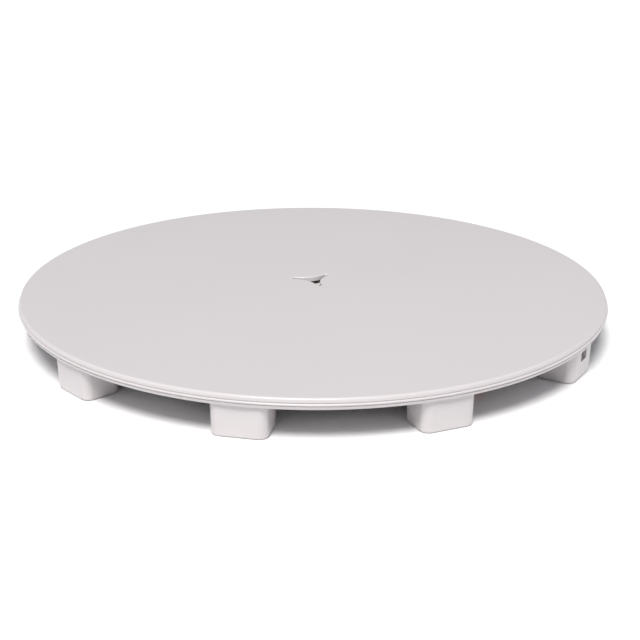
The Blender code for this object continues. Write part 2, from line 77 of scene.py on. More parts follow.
@dataclass
class Graph:
    """A material's node tree, with one way to add a node."""

    tree: bpy.types.NodeTree

    def add(self, kind: str, settings: dict | None = None, **inputs: object) -> bpy.types.Node:
        """Adds a node.

        Args:
            kind: Blender's name of the node type, such as "ShaderNodeTexNoise".
            settings: the node's own properties; a ramp's stops come as "stops".
            **inputs: socket values or links, with spaces in a socket's name as underscores.

        Returns:
            The new node.
        """
        node = self.tree.nodes.new(kind)
        for name, value in (settings or {}).items():
            if name == "stops":
                self._stops(node, value)
            else:
                setattr(node, name, value)
        for name, value in inputs.items():
            key = int(name[1:]) if name[1:].isdigit() and name[0] == "i" else name.replace("_", " ")
            socket = node.inputs[key]
            if isinstance(value, Value):
                self.tree.links.new(value.socket, socket)
            elif isinstance(value, bpy.types.NodeSocket):
                self.tree.links.new(value, socket)
            else:
                socket.default_value = value
        return node

    @staticmethod
    def _stops(ramp: bpy.types.Node, stops: Sequence[tuple[float, tuple]]) -> None:
        """Sets a colour ramp's stops from (position, colour) pairs."""
        elements = ramp.color_ramp.elements
        while len(elements) < len(stops):
            elements.new(0.5)
        for element, (place, colour) in zip(elements, stops):
            element.position = place
            element.color = colour

    def value(self, kind: str, output: str, settings: dict | None = None, **inputs: object) -> "Value":
        """Adds a node and returns one of its outputs as a Value."""
        return Value(self, self.add(kind, settings, **inputs).outputs[output])

    def place(self) -> "Value":
        """The point's place on the object, in metres."""
        return self.value("ShaderNodeTexCoord", "Object")

    def noise(self, at: "Value", scale: float, detail: float = 2.0) -> "Value":
        """A noise from 0 to 1 whose blotches are about 1/scale metres across."""
        return self.value("ShaderNodeTexNoise", "Fac", None, Vector=at, Scale=scale, Detail=detail)

    def mix(self, share: "Value | float", first: Colour, second: Colour) -> "Value":
        """A colour between two, by share."""
        settings = {"data_type": "RGBA"}
        node = self.add("ShaderNodeMix", settings, i6=(*first, 1.0), i7=(*second, 1.0))
        if isinstance(share, Value):
            self.tree.links.new(share.socket, node.inputs[0])
        else:
            node.inputs[0].default_value = share
        return Value(self, node.outputs[2])

    def bump(self, height: "Value", depth: float, strength: float = 1.0) -> "Value":
        """A surface normal from a height that runs from 0 to 1 over depth metres."""
        return self.value(
            "ShaderNodeBump", "Normal", None, Height=height, Distance=depth, Strength=strength
        )

    def parts(self, at: "Value") -> tuple["Value", "Value", "Value"]:
        """A vector's three parts."""
        node = self.add("ShaderNodeSeparateXYZ", None, Vector=at)
        return tuple(Value(self, node.outputs[k]) for k in range(3))


@dataclass
class Value:
    """A socket that takes part in Python arithmetic."""

    graph: Graph
    socket: bpy.types.NodeSocket

    def _maths(self, operation: str, first: "Value | float", second: "Value | float") -> "Value":
        """Adds one Math node."""
        settings = {"operation": operation}
        return self.graph.value("ShaderNodeMath", "Value", settings, i0=first, i1=second)

    def __add__(self, other: "Value | float") -> "Value":
        """self + other"""
        return self._maths("ADD", self, other)

    __radd__ = __add__

    def __sub__(self, other: "Value | float") -> "Value":
        """self - other"""
        return self._maths("SUBTRACT", self, other)

    def __rsub__(self, other: "Value | float") -> "Value":
        """other - self"""
        return self._maths("SUBTRACT", other, self)

    def __mul__(self, other: "Value | float") -> "Value":
        """self * other"""
        return self._maths("MULTIPLY", self, other)

    __rmul__ = __mul__

    def __pow__(self, other: "Value | float") -> "Value":
        """self ** other"""
        return self._maths("POWER", self, other)

    def sine(self) -> "Value":
        """The sine of self, in radians."""
        return self._maths("SINE", self, 0.0)

    def absolute(self) -> "Value":
        """The size of self without its sign."""
        return self._maths("ABSOLUTE", self, 0.0)

    def above(self, limit: float) -> "Value":
        """1 where self is over limit, else 0."""
        return self._maths("GREATER_THAN", self, limit)


# ---------------------------------------------------------------- finishes


def new_material(name: str) -> tuple[bpy.types.Material, Graph, bpy.types.Node]:
    """Makes a material.

    Args:
        name: its name.

    Returns:
        The material, its graph and its Principled node.
    """
    made = bpy.data.materials.new(name)
    made.use_nodes = True
    return made, Graph(made.node_tree), made.node_tree.nodes["Principled BSDF"]


def feed(graph: Graph, shader: bpy.types.Node, **links: Value) -> None:
    """Links values to the shader's sockets, with spaces in a socket's name as underscores."""
    for name, value in links.items():
        graph.tree.links.new(value.socket, shader.inputs[name.replace("_", " ")])


@dataclass(frozen=True)
class Moulded:
    """Injection-moulded plastic: a slow drift of colour, fine texture and faint scuffs."""

    name: str
    light: Colour
    dark: Colour
    roughness: float = 0.3
    texture: float = 0.00001
    texture_scale: float = 900.0
    coat: float = 0.0

    def build(self) -> bpy.types.Material:
        """Builds the material."""
        made, graph, shader = new_material(self.name)
        at = graph.place()
        drift = graph.noise(at, 14.0, 3.0)
        scuffs = graph.noise(at, 260.0, 4.0)
        grain = graph.noise(at, self.texture_scale, 2.0)
        rough = scuffs * 0.10 + drift * 0.06 + (self.roughness - 0.08)
        feed(graph, shader, Base_Color=graph.mix(drift, self.dark, self.light), Roughness=rough)
        feed(graph, shader, Normal=graph.bump(grain, self.texture))
        shader.inputs["IOR"].default_value = 1.5
        shader.inputs["Coat Weight"].default_value = self.coat
        shader.inputs["Coat Roughness"].default_value = 0.12
        return made


@dataclass(frozen=True)
class Metal:
    """Bare or plated metal whose fine lines follow how it was made."""

    name: str
    light: Colour
    dark: Colour
    grain: Grain
    roughness: float = 0.3

    def build(self) -> bpy.types.Material:
        """Builds the material."""
        made, graph, shader = new_material(self.name)
        at = graph.place()
        stretch = {
            Grain.TURNED: (500, 500, 9000), Grain.ROLLED: (9000, 220, 9000), Grain.PLATED: (800, 800, 800),
        }
        settings = {"operation": "MULTIPLY"}
        lines_at = graph.value("ShaderNodeVectorMath", "Vector", settings, i0=at, i1=stretch[self.grain])
        lines = graph.noise(lines_at, 1.0, 3.0)
        blotch = graph.noise(at, 120.0, 3.0)
        share = blotch * 0.6 + lines * 0.4
        feed(graph, shader, Base_Color=graph.mix(share, self.dark, self.light))
        feed(graph, shader, Roughness=lines * 0.16 + blotch * 0.08 + (self.roughness - 0.1))
        feed(graph, shader, Normal=graph.bump(lines, 0.000006))
        shader.inputs["Metallic"].default_value = 1.0
        return made


@dataclass(frozen=True)
class Foam:
    """Closed-cell foam: small pits between pale cell walls."""

    name: str
    light: Colour
    dark: Colour

    def build(self) -> bpy.types.Material:
        """Builds the material."""
        made, graph, shader = new_material(self.name)
        at = graph.place()
        cells = graph.value("ShaderNodeTexVoronoi", "Distance", None, Vector=at, Scale=900.0)
        feed(graph, shader, Base_Color=graph.mix(cells, self.light, self.dark))
        feed(graph, shader, Normal=graph.bump(cells, 0.0002), Roughness=cells * 0.1 + 0.82)
        return made


@dataclass(frozen=True)
class Braid:
    """Braided line: two sets of strands that cross at a slant."""

    name: str
    light: Colour
    dark: Colour

    def build(self) -> bpy.types.Material:
        """Builds the material."""
        made, graph, shader = new_material(self.name)
        at = graph.place()
        x, y, z = graph.parts(at)
        first = ((x + y + z) * 9000.0).sine()
        second = ((x - y - z) * 9000.0).sine()
        strands = (first * second).absolute()
        feed(graph, shader, Base_Color=graph.mix(strands, self.dark, self.light))
        feed(graph, shader, Roughness=strands * 0.2 + 0.55, Normal=graph.bump(strands, 0.00008))
        return made


@dataclass(frozen=True)
class Ripstop:
    """Thin nylon: a plain weave with a heavier thread every few millimetres both ways."""

    name: str
    light: Colour
    dark: Colour
    thread: float = 0.0004
    grid: float = 0.005

    def build(self) -> bpy.types.Material:
        """Builds the material."""
        made, graph, shader = new_material(self.name)
        at = graph.place()
        x, y, _ = graph.parts(at)
        warp = (x * (TAU / self.thread)).sine()
        weft = (y * (TAU / self.thread)).sine()
        weave = (warp * weft) * 0.25 + 0.5
        heavy_x = (x * (math.pi / self.grid)).sine().absolute().above(0.985)
        heavy_y = (y * (math.pi / self.grid)).sine().absolute().above(0.985)
        heavy = heavy_x * 0.5 + heavy_y * 0.5
        drift = graph.noise(at, 60.0, 3.0)
        share = weave * 0.5 + drift * 0.3 + heavy * 0.3
        feed(graph, shader, Base_Color=graph.mix(share, self.dark, self.light))
        feed(graph, shader, Roughness=drift * 0.15 + 0.6, Normal=graph.bump(weave + heavy, 0.00008))
        shader.inputs["Sheen Weight"].default_value = 0.25
        shader.inputs["Sheen Roughness"].default_value = 0.4
        return made


@dataclass(frozen=True)
class Paper:
    """Seamless studio paper for the floor."""

    name: str
    shade: float = 0.9

    def build(self) -> bpy.types.Material:
        """Builds the material."""
        made, graph, shader = new_material(self.name)
        fibres = graph.noise(graph.place(), 300.0, 2.0)
        pale = (self.shade,) * 3
        feed(graph, shader, Base_Color=graph.mix(fibres, tuple(v * 0.995 for v in pale), pale))
        shader.inputs["Roughness"].default_value = 0.9
        shader.inputs["Specular IOR Level"].default_value = 0.0
        return made


@dataclass
class Palette:
    """The object's finishes, by the record's slot names."""

    made: dict[str, bpy.types.Material] = field(default_factory=dict)

    def __post_init__(self) -> None:
        """Builds each finish once."""
        white_light, white_dark = (0.675, 0.637, 0.636), (0.655, 0.620, 0.622)
        finishes = (
            Moulded("gloss_white", white_light, white_dark, 0.34, 0.000003, 500.0, 0.15),
            Moulded("black_plastic", (0.035, 0.035, 0.038), (0.022, 0.022, 0.025), 0.55, 0.00003),
            Moulded("orange_plastic", (0.88, 0.16, 0.015), (0.78, 0.12, 0.012), 0.36, 0.000006),
            Metal("steel", (0.66, 0.66, 0.67), (0.5, 0.5, 0.53), Grain.PLATED, 0.34),
            Metal("spring_steel", (0.46, 0.47, 0.5), (0.34, 0.35, 0.38), Grain.ROLLED, 0.3),
            Metal("brass", (0.83, 0.62, 0.28), (0.68, 0.47, 0.2), Grain.TURNED, 0.26),
            Foam("foam", (0.88, 0.87, 0.83), (0.7, 0.69, 0.64)),
            Braid("braided_line", (0.1, 0.16, 0.1), (0.02, 0.04, 0.025)),
            Ripstop("flag_cloth", (1.0, 0.22, 0.02), (0.85, 0.13, 0.01)),
        )
        for finish in finishes:
            self.made[finish.name] = finish.build()

    def dress(self, piece: bpy.types.Object, slot: str) -> bpy.types.Object:
        """Gives a piece the finish of a slot.

        Args:
            piece: the piece.
            slot: the record's slot name.

        Returns:
            The same piece.
        """
        piece.data.materials.clear()
        piece.data.materials.append(self.made[slot])
        return piece


# ---------------------------------------------------------------- mesh tools


def to_object(name: str, bm: bmesh.types.BMesh, sharp: float = 35.0) -> bpy.types.Object:
    """Turns a bmesh into a smooth-shaded object.

    Args:
        name: the object's name.
        bm: the mesh, which is freed.
        sharp: the angle in degrees over which an edge stays sharp.

    Returns:
        The object, linked to the scene.
    """
    bmesh.ops.recalc_face_normals(bm, faces=bm.faces)
    mesh = bpy.data.meshes.new(name)
    bm.to_mesh(mesh)
    bm.free()
    mesh.shade_smooth()
    mesh.set_sharp_from_angle(angle=math.radians(sharp))
    made = bpy.data.objects.new(name, mesh)
    bpy.context.scene.collection.objects.link(made)
    return made


def bridge(bm: bmesh.types.BMesh, rings: Sequence[Sequence[Vector]], loop: bool) -> None:
    """Joins rings of equally many points with quads.

    Args:
        bm: where the faces go.
        rings: the rings, each closed on itself.
        loop: whether the last ring joins the first.
    """
    made = [[bm.verts.new(p) for p in ring] for ring in rings]
    count = len(made[0])
    pairs = list(zip(made, made[1:]))
    if loop:
        pairs.append((made[-1], made[0]))
    for low, high in pairs:
        for k in range(count):
            bm.faces.new((low[k], low[(k + 1) % count], high[(k + 1) % count], high[k]))


def circle(radius: float, height: float, centre: Vector, steps: int) -> list[Vector]:
    """Points round a level circle, in metres."""
    return [
        centre + Vector((radius * math.cos(TAU * k / steps), radius * math.sin(TAU * k / steps), height))
        for k in range(steps)
    ]


def turned(
    name: str, section: Sequence[Point], centre: Vector, steps: int, sharp: float = 35.0
) -> bpy.types.Object:
    """A ring-shaped turned piece.

    Args:
        name: the object's name.
        section: the closed half section, as (radius, height) in metres, none on the axis.
        centre: the point that the radii and heights are counted from.
        steps: points round it.
        sharp: the angle in degrees over which an edge stays sharp.

    Returns:
        The object.
    """
    bm = bmesh.new()
    bridge(bm, [circle(r, z, centre, steps) for r, z in section], loop=True)
    return to_object(name, bm, sharp)


def arc(centre: Point, radius: float, start: float, end: float, count: int) -> list[Point]:
    """Points on an arc, both ends included, with angles in degrees."""
    angles = [math.radians(start + (end - start) * k / count) for k in range(count + 1)]
    return [(centre[0] + radius * math.cos(a), centre[1] + radius * math.sin(a)) for a in angles]


def rounded(corners: Sequence[tuple[float, float, float]], count: int = 4) -> list[Point]:
    """A closed outline with rounded corners.

    Args:
        corners: (x, y, radius) of each corner; a radius of 0 leaves it sharp.
        count: segments in each rounding.

    Returns:
        The outline's points.
    """
    points: list[Point] = []
    for k, (x, y, radius) in enumerate(corners):
        here = Vector((x, y))
        if not radius:
            points.append((x, y))
            continue
        before, after = Vector(corners[k - 1][:2]), Vector(corners[(k + 1) % len(corners)][:2])
        start = here + (before - here).normalized() * radius
        end = here + (after - here).normalized() * radius
        for step in range(count + 1):
            t = step / count
            points.append(tuple(start * (1 - t) ** 2 + here * 2 * t * (1 - t) + end * t**2))
    return points


def apply_boolean(piece: bpy.types.Object, tool: bpy.types.Object, operation: str) -> None:
    """Cuts or joins a tool into a piece, applies it and removes the tool."""
    step = piece.modifiers.new("boolean", "BOOLEAN")
    step.operation, step.solver, step.object = operation, "EXACT", tool
    bpy.context.view_layer.update()
    graph = bpy.context.evaluated_depsgraph_get()
    mesh = bpy.data.meshes.new_from_object(piece.evaluated_get(graph))
    piece.modifiers.clear()
    piece.data = mesh
    mesh.shade_smooth()
    mesh.set_sharp_from_angle(angle=math.radians(35))
    bpy.data.objects.remove(tool)


# ---------------------------------------------------------------- the object


@dataclass
class Job:
    """What each sub-assembly works with."""

    palette: Palette
    hub: Vector
    nodes: dict[str, bpy.types.Object]

    def fit(self, piece: bpy.types.Object, slot: str, body: str, *replaced: str) -> bpy.types.Object:
        """Dresses a new piece and hangs it on its body.

        Args:
            piece: the new piece, in place.
            slot: the record's slot of its finish.
            body: the CAD body that it rides on.
            *replaced: CAD nodes that it stands for.

        Returns:
            The same piece.
        """
        self.palette.dress(piece, slot)
        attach(piece, body)
        if replaced:
            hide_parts(*replaced)
        log.info("made %s on %s", piece.name, body)
        return piece


@dataclass
class Lid:
    """The domed disc, with a softly rounded three-pointed opening."""

    job: Job
    radius: float = 126.4 * MM
    edge_height: float = 17.8 * MM
    dome: float = 1.9 * MM
    edge_round: float = 1.0 * MM
    skin: float = 2.0 * MM
    wall_bottom: float = 15.9 * MM
    tip: float = 9.1 * MM
    waist: float = 3.0 * MM
    tip_round: float = 1.1 * MM
    lip: float = 0.55 * MM
    turn: float = math.radians(43)
    side_points: int = 64
    tip_points: int = 12

    def height(self, radius: float) -> float:
        """The disc's top at a radius."""
        return self.edge_height + self.dome * (1 - (radius / (self.radius - 1.4 * MM)) ** 2)

    def opening(self) -> tuple[list[Vector], list[Vector]]:
        """The opening's outline.

        Returns:
            Its points, and the outward direction at each.
        """
        points, outward = [], []
        for k in range(3):
            angle = self.turn + TAU * k / 3
            out = Vector((math.cos(angle), math.sin(angle)))
            across = Vector((-out.y, out.x))
            for step in range(self.tip_points + 1):
                swing = math.pi * (step / self.tip_points - 0.5)
                way = out * math.cos(swing) + across * math.sin(swing)
                points.append(out * (self.tip - self.tip_round) + way * self.tip_round)
                outward.append(way)
            spin = Matrix.Rotation(TAU / 3, 2)
            start, end = points[-1], spin @ (out * (self.tip - self.tip_round) - across * self.tip_round)
            control = 2 * (out + spin @ out).normalized() * self.waist - (start + end) / 2
            for step in range(1, self.side_points):
                t = step / self.side_points
                points.append(start * (1 - t) ** 2 + control * 2 * t * (1 - t) + end * t**2)
                slope = (control - start) * (1 - t) + (end - control) * t
                outward.append(Vector((slope.y, -slope.x)).normalized())
        return points, outward

    def build(self) -> None:
        """Builds the disc as one closed skin of rings, from the opening out and back underneath."""
        points, outward = self.opening()
        hub, count = self.job.hub, len(points)
        rings: list[list[Vector]] = []

        def ring(flat: Callable[[int], Vector], high: Callable[[float], float]) -> None:
            """Adds a ring from each point's place and a height by radius."""
            places = [flat(k) for k in range(count)]
            rings.append([hub + Vector((p.x, p.y, high(p.length))) for p in places])

        for step in range(7):
            swing = math.pi / 2 * step / 6
            offset, drop = self.lip * (1 - math.cos(swing)), self.lip * (1 - math.sin(swing))
            ring(lambda k, o=offset: points[k] + outward[k] * o, lambda r, d=drop: self.height(r) - d)
        start_angle = math.atan2(points[0].y, points[0].x)
        round_way = [
            Vector((math.cos(start_angle + TAU * k / count), math.sin(start_angle + TAU * k / count)))
            for k in range(count)
        ]
        collar = 16 * MM
        for step in range(1, 8):
            t = step / 7
            ring(
                lambda k, t=t: (points[k] + outward[k] * self.lip) * (1 - t) + round_way[k] * collar * t,
                self.height,
            )
        for radius in (24, 36, 52, 70, 88, 104, 115, 121, 124):
            ring(lambda k, r=radius * MM: round_way[k] * r, self.height)
        middle = (self.radius - self.edge_round, self.edge_height - self.edge_round)
        profile = arc(middle, self.edge_round, 90, 0, 12)
        profile += [(self.radius, self.wall_bottom + 0.12 * MM), (self.radius - 0.12 * MM, self.wall_bottom)]
        profile += [(122.2 * MM, self.wall_bottom)]
        profile += [(122.2 * MM, 15.3 * MM), (120.4 * MM, 15.3 * MM), (120.4 * MM, 15.9 * MM)]
        for radius, height in profile:
            ring(lambda k, r=radius: round_way[k] * r, lambda _, h=height: h)
        ring(lambda k: round_way[k] * 60 * MM, lambda r: self.height(r) - self.skin)
        ring(lambda k: round_way[k] * collar, lambda r: self.height(r) - self.skin)
        ring(lambda k: points[k], lambda r: self.height(r) - self.skin)
        bm = bmesh.new()
        bridge(bm, rings, loop=True)
        self.job.fit(to_object("lid_shell", bm, 40.0), "gloss_white", "lid", "top_cover")


@dataclass
class FootedRing:
    """The rim's bead, groove and lower band, with ten tapered feet moulded on."""

    job: Job
    feet: int = 10
    rim: float = 127.0
    top: float = 15.8
    bottom: float = 13.2
    flange_top: float = 15.0
    outer: Point = (124.3, 124.7)
    inner: Point = (108.3, 108.0)
    half: Point = (10.7, 10.9)
    corner: float = 3.6
    foot_edge: float = 1.0
    wall: float = 2.2

    def section(self) -> list[Point]:
        """The ring's half section in metres, with its bead as an arc."""
        rim, top = self.rim, self.top
        bead = arc((rim - 0.45, top - 0.45), 0.45, 90, -70, 9)
        band = [
            (rim - 0.62, top - 0.98), (rim - 0.62, top - 1.12), (rim - 0.42, top - 1.24),
            (rim - 0.36, top - 1.4),
            (rim - 0.7, self.bottom + 0.6), (rim - 0.85, self.bottom + 0.25), (rim - 1.2, self.bottom),
        ]
        inside = [(97.5, self.bottom), (97.5, self.flange_top), (122.7, self.flange_top), (122.7, top)]
        return [(r * MM, z * MM) for r, z in bead + band + inside]

    def foot(self, name: str, angle: float, inset: float, low: float, high: float) -> bpy.types.Object:
        """One tapered block, or the hollow inside it.

        Args:
            name: the object's name.
            angle: where it stands round the ring, in radians.
            inset: how far its sides are drawn in, in millimetres.
            low: its lower end, in millimetres.
            high: its upper end, in millimetres.

        Returns:
            The block, for a boolean.
        """
        bm = bmesh.new()
        bmesh.ops.create_cube(bm, size=1)
        for vert in bm.verts:
            height = high if vert.co.z > 0 else low
            share = height / self.bottom
            outer = self.outer[0] + (self.outer[1] - self.outer[0]) * share - inset
            inner = self.inner[0] + (self.inner[1] - self.inner[0]) * share + inset
            half = self.half[0] + (self.half[1] - self.half[0]) * share - inset
            vert.co = (outer if vert.co.x > 0 else inner, half if vert.co.y > 0 else -half, height)
        upright = [e for e in bm.edges if abs(e.verts[0].co.z - e.verts[1].co.z) > 1]
        corner = self.corner - 0.6 * inset
        bmesh.ops.bevel(bm, geom=upright, offset=corner, segments=9, profile=0.5, affect="EDGES")
        if not inset:
            sole = [e for e in bm.edges if all(v.co.z < low + 0.01 for v in e.verts)]
            bmesh.ops.bevel(bm, geom=sole, offset=self.foot_edge, segments=5, profile=0.5, affect="EDGES")
        place = Matrix.Translation(self.job.hub) @ Matrix.Rotation(angle, 4, "Z") @ Matrix.Scale(MM, 4)
        bmesh.ops.transform(bm, matrix=place, verts=bm.verts)
        return to_object(name, bm)

    def build(self) -> None:
        """Builds the ring, joins the feet, hollows them and cuts the slot in one of them."""
        ring = turned("footed_ring", self.section(), self.job.hub, 288, 30.0)
        for k in range(self.feet):
            angle = TAU * k / self.feet
            apply_boolean(ring, self.foot("foot", angle, 0, 0, self.bottom + 0.6), "UNION")
            hollow = self.foot("hollow", angle, self.wall, self.wall, self.flange_top + 0.6)
            apply_boolean(ring, hollow, "DIFFERENCE")
        bm = bmesh.new()
        bmesh.ops.create_cube(bm, size=1)
        bmesh.ops.scale(bm, vec=(6.7, 6.0, 4.2), verts=bm.verts)
        along = [e for e in bm.edges if abs(e.verts[0].co.x - e.verts[1].co.x) > 1]
        bmesh.ops.bevel(bm, geom=along, offset=0.5, segments=3, profile=0.5, affect="EDGES")
        bmesh.ops.translate(bm, vec=(123.65, 0, 9.3), verts=bm.verts)
        turn = Matrix.Rotation(-TAU / self.feet, 4, "Z")
        place = Matrix.Translation(self.job.hub) @ turn @ Matrix.Scale(MM, 4)
        bmesh.ops.transform(bm, matrix=place, verts=bm.verts)
        apply_boolean(ring, to_object("slot_tool", bm), "DIFFERENCE")
        self.job.fit(ring, "gloss_white", "lid", "base_ring")


@dataclass
class Chassis:
    """The plate's moulded ribs, and the carried-over pieces that are fixed to it."""

    job: Job
    rib_inner: float = 62.0
    rib_outer: float = 97.0
    ribs: int = 10

    def build(self) -> None:
        """Dresses the fixed CAD pieces and adds the ribs."""
        black = ("chassis_plate", "line_guide", "flag_bracket")
        steel = ("guide_eyelet", "flag_pivot_screw", "flag_pivot_nut")
        groups = (
            ("black_plastic", black), ("steel", steel), ("brass", ("spindle_bushing",)),
            ("foam", ("insulation_disc",)),
        )
        for slot, names in groups:
            for name in names:
                self.job.palette.dress(self.job.nodes[name], slot)
        low, high = 11.1 * MM, 11.75 * MM
        for k, radius in enumerate((self.rib_inner, self.rib_outer)):
            width = 0.6
            corners = [
                ((radius - width) * MM, high, 0), ((radius + width) * MM, high, 0),
                ((radius + width) * MM, low, 0.3 * MM), ((radius - width) * MM, low, 0.3 * MM),
            ]
            rib = turned(f"plate_rib_round_{k + 1}", rounded(corners), self.job.hub, 180)
            self.job.fit(rib, "black_plastic", "lid")
        for k in range(self.ribs):
            bm = bmesh.new()
            bmesh.ops.create_cube(bm, size=1)
            length = (self.rib_outer - self.rib_inner - 1.2) * MM
            bmesh.ops.scale(bm, vec=(length, 1.1 * MM, high - low), verts=bm.verts)
            lower = [
                e for e in bm.edges
                if all(v.co.z < 0 for v in e.verts) and abs(e.verts[0].co.x - e.verts[1].co.x) > MM
            ]
            bmesh.ops.bevel(bm, geom=lower, offset=0.25 * MM, segments=3, profile=0.5, affect="EDGES")
            middle = (self.rib_inner + self.rib_outer) / 2 * MM
            turn = Matrix.Rotation(TAU * (k + 0.5) / self.ribs, 4, "Z")
            lift = Matrix.Translation((middle, 0, (low + high) / 2))
            place = Matrix.Translation(self.job.hub) @ turn @ lift
            bmesh.ops.transform(bm, matrix=place, verts=bm.verts)
            self.job.fit(to_object(f"plate_rib_{k + 1}", bm), "black_plastic", "lid")


@dataclass
class Screws:
    """The pan-head screws, with rounded heads and cross recesses."""

    job: Job
    names: Iterable[str] = (
        "cover_screw_1", "cover_screw_2", "cover_screw_3", "cover_screw_4", "cover_screw_5",
        "bracket_screw_left", "bracket_screw_right", "guide_screw",
    )
    head: float = 2.9 * MM
    thick: float = 1.3 * MM
    shank: float = 1.3 * MM

    def build(self) -> None:
        """Replaces each CAD screw with a detailed one of the same size."""
        for name in self.names:
            low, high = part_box(name)
            centre = Vector(((low.x + high.x) / 2, (low.y + high.y) / 2, 0))
            self.job.fit(self._screw(name, centre, low.z, high.z), "steel", "lid", name)

    def _screw(self, name: str, centre: Vector, low: float, high: float) -> bpy.types.Object:
        """Builds one screw, head down, from its lowest and highest levels."""
        eps = 0.05 * MM
        crown = [(self.head * math.sin(a), low + self.thick * 0.75 * (1 - math.cos(a))) for a in
                 (math.radians(d) for d in (4, 20, 40, 60, 78, 90))]
        section = crown + [(self.head, low + self.thick), (self.shank, low + self.thick)]
        turns = int((high - low - self.thick - 0.6 * MM) / (0.5 * MM))
        for k in range(turns):
            level = low + self.thick + 0.3 * MM + k * 0.5 * MM
            section += [(self.shank - 0.25 * MM, level), (self.shank, level + 0.25 * MM)]
        section += [(self.shank - 0.3 * MM, high), (eps, high), (eps, low)]
        screw = turned(name + "_fine", section, centre, 28)
        for turn in (0.0, math.pi / 2):
            bm = bmesh.new()
            bmesh.ops.create_cube(bm, size=1)
            bmesh.ops.scale(bm, vec=(3.2 * MM, 0.75 * MM, 1.4 * MM), verts=bm.verts)
            spin = Matrix.Rotation(turn + centre.x * 40, 4, "Z")
            place = Matrix.Translation(centre + Vector((0, 0, low))) @ spin
            bmesh.ops.transform(bm, matrix=place, verts=bm.verts)
            apply_boolean(screw, to_object("recess", bm), "DIFFERENCE")
        return screw


@dataclass
class Reel:
    """Spool, wound line, drag parts and the trip spindle."""

    job: Job
    radius: float = 56.0
    hub_radius: float = 15.0
    low: float = 4.9
    high: float = 10.2
    flange: float = 1.0
    vents: int = 6

    def build(self) -> None:
        """Builds the spool and winding, and dresses the rest."""
        self.spool()
        self.winding()
        for name, slot in (
            ("drive_sleeve", "steel"), ("drag_washer", "steel"), ("drag_nut", "black_plastic"),
            ("trip_spindle", "gloss_white"),
        ):
            self.job.palette.dress(self.job.nodes[name], slot)

    def spool(self) -> None:
        """The spool, with rounded flange edges, a raised ring on its face, and vents."""
        low, high, flange, edge = self.low, self.high, self.flange, 0.45
        corners = [
            (4.5, high, 0.2), (self.radius, high, edge), (self.radius, high - flange, edge),
            (self.hub_radius, high - flange, 0.3), (self.hub_radius, low + flange, 0.3),
            (self.radius, low + flange, edge), (self.radius, low, edge), (42.0, low, 0.2),
            (41.4, low + 0.35, 0.2),
            (23.0, low + 0.35, 0.2), (22.4, low, 0.2), (10.4, low, 0.3), (10.4, low + 2.6, 0.2),
            (4.5, low + 2.6, 0.2),
        ]
        section = rounded([(r * MM, z * MM, c * MM) for r, z, c in corners])
        spool = turned("spool_fine", section, self.job.hub, 160)
        for k in range(self.vents):
            angle = TAU * k / self.vents
            bm = bmesh.new()
            bmesh.ops.create_cone(
                bm, cap_ends=True, segments=40, radius1=4 * MM, radius2=4 * MM, depth=12 * MM
            )
            spot = Vector((49 * MM * math.cos(angle), 49 * MM * math.sin(angle), 7.5 * MM))
            bmesh.ops.translate(bm, vec=self.job.hub + spot, verts=bm.verts)
            apply_boolean(spool, to_object("vent_tool", bm), "DIFFERENCE")
        self.job.fit(spool, "orange_plastic", "reel", "reel_spool")

    def winding(self) -> None:
        """The wound line: a rounded row for every turn that shows."""
        low, high, inner, outer = 6.2, 8.9, 15.3, 44.0
        turns = 6
        size = (high - low) / turns
        section: list[Point] = [(inner, low), (inner, high)]
        steps = 24
        for k in range(steps):
            radius = inner + (outer - inner - size) * (k + 0.5) / steps
            half = (outer - inner - size) / steps / 2
            section += [(radius - half, high - 0.1), (radius, high)]
        for k in range(turns):
            middle = high - size * (k + 0.5)
            section += arc((outer - size / 2, middle), size / 2, 75, -75, 4)
        section.append((outer - size, low))
        line = turned("wound_line", [(r * MM, z * MM) for r, z in section], self.job.hub, 128, 60.0)
        self.job.fit(line, "braided_line", "reel", "line_winding")


